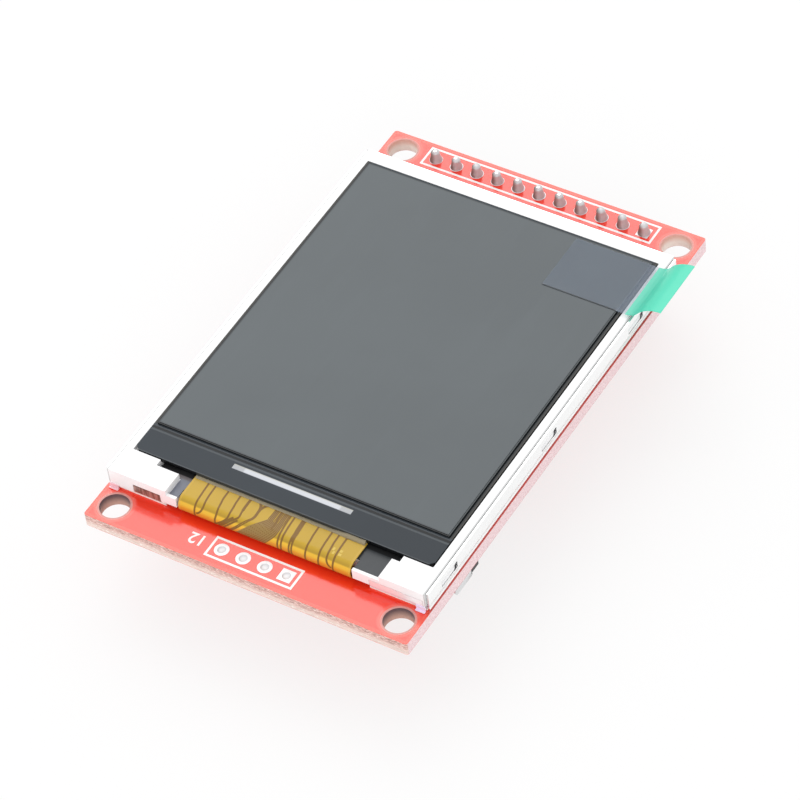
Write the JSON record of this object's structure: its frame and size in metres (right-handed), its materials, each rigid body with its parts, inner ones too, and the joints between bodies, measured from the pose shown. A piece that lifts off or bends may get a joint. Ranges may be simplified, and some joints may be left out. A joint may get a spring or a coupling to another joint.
{
  "type": "tft display module",
  "caption": "Small colour display on a carrier board with corner holes, a soldered pin header, a bent flex and a memory card socket behind.",
  "frame": {"origin": "centre of the pattern of four mounting holes, on the back face of the circuit board", "axes": "+Z out of the screen towards the viewer, +Y along the board towards the pin header, +X to the viewer's right with the header at the top"},
  "size_m": [0.0414, 0.061, 0.0151],
  "materials": {
    "board_red": "red solder mask, smooth",
    "gold_plating": "gold plated, smooth",
    "tin": "tinned, bright",
    "ink_white": "printed legend",
    "strip_black": "moulded, matt",
    "pan_steel": "thin bright sheet",
    "frame_white": "moulded white",
    "film_clear": "optical film",
    "guide_clear": "clear acrylic",
    "lamp": "white housing with yellow window",
    "tape_black": "thin black tape",
    "tape_white": "double-sided foam tape",
    "glass_plate": "display glass",
    "polarizer": "satin dark film",
    "silicon": "polished silicon",
    "flex_amber": "polyimide film with brown traces",
    "bead": "clear adhesive",
    "film_screen": "thin clear film over the polarizer",
    "tab_clear": "thin clear tape",
    "tab_green": "thin green film",
    "shell_steel": "stamped shell",
    "chip_black": "moulded package",
    "chip_ceramic": "ceramic with tinned ends"
  },
  "bodies": {
    "root": {"circuit_board": "board_red", "header_strip": "strip_black", "header_lands": "gold_plating", "header_solder": "tin", "spare_lands": "tin", "legend_lines": "ink_white", "metal_pan": "pan_steel", "backlight_frame": "frame_white", "reflector": "film_clear", "light_guide": "guide_clear", "diffuser": "film_clear", "prism_sheet_lower": "film_clear", "prism_sheet_upper": "film_clear", "led_flex": "flex_amber", "light_block_tape": "tape_black", "rim_tape": "tape_black", "rear_polarizer": "polarizer", "filter_glass": "glass_plate", "array_glass": "glass_plate", "front_polarizer": "polarizer", "driver_chip": "silicon", "display_flex": "flex_amber", "flex_bead": "bead", "flex_solder": "tin", "tape_left": "tape_white", "tape_right": "tape_white", "tape_far": "tape_white", "protective_film": "film_screen", "pull_tab_clear": "tab_clear", "pull_tab_green": "tab_green", "card_shell": "shell_steel", "card_base": "strip_black", "card_contacts": "gold_plating", "regulator": "chip_black", "header_pin_1": "gold_plating", "header_pin_2": "gold_plating", "header_pin_3": "gold_plating", "header_pin_4": "gold_plating", "header_pin_5": "gold_plating", "header_pin_6": "gold_plating", "header_pin_7": "gold_plating", "header_pin_8": "gold_plating", "header_pin_9": "gold_plating", "header_pin_10": "gold_plating", "header_pin_11": "gold_plating", "led_1": "lamp", "led_2": "lamp", "led_3": "lamp", "led_4": "lamp", "resistor_1": "chip_black", "resistor_2": "chip_black", "resistor_3": "chip_black", "resistor_4": "chip_black", "resistor_5": "chip_black", "resistor_6": "chip_black", "capacitor_1": "chip_ceramic", "capacitor_2": "chip_ceramic"}
  },
  "joints": []
}
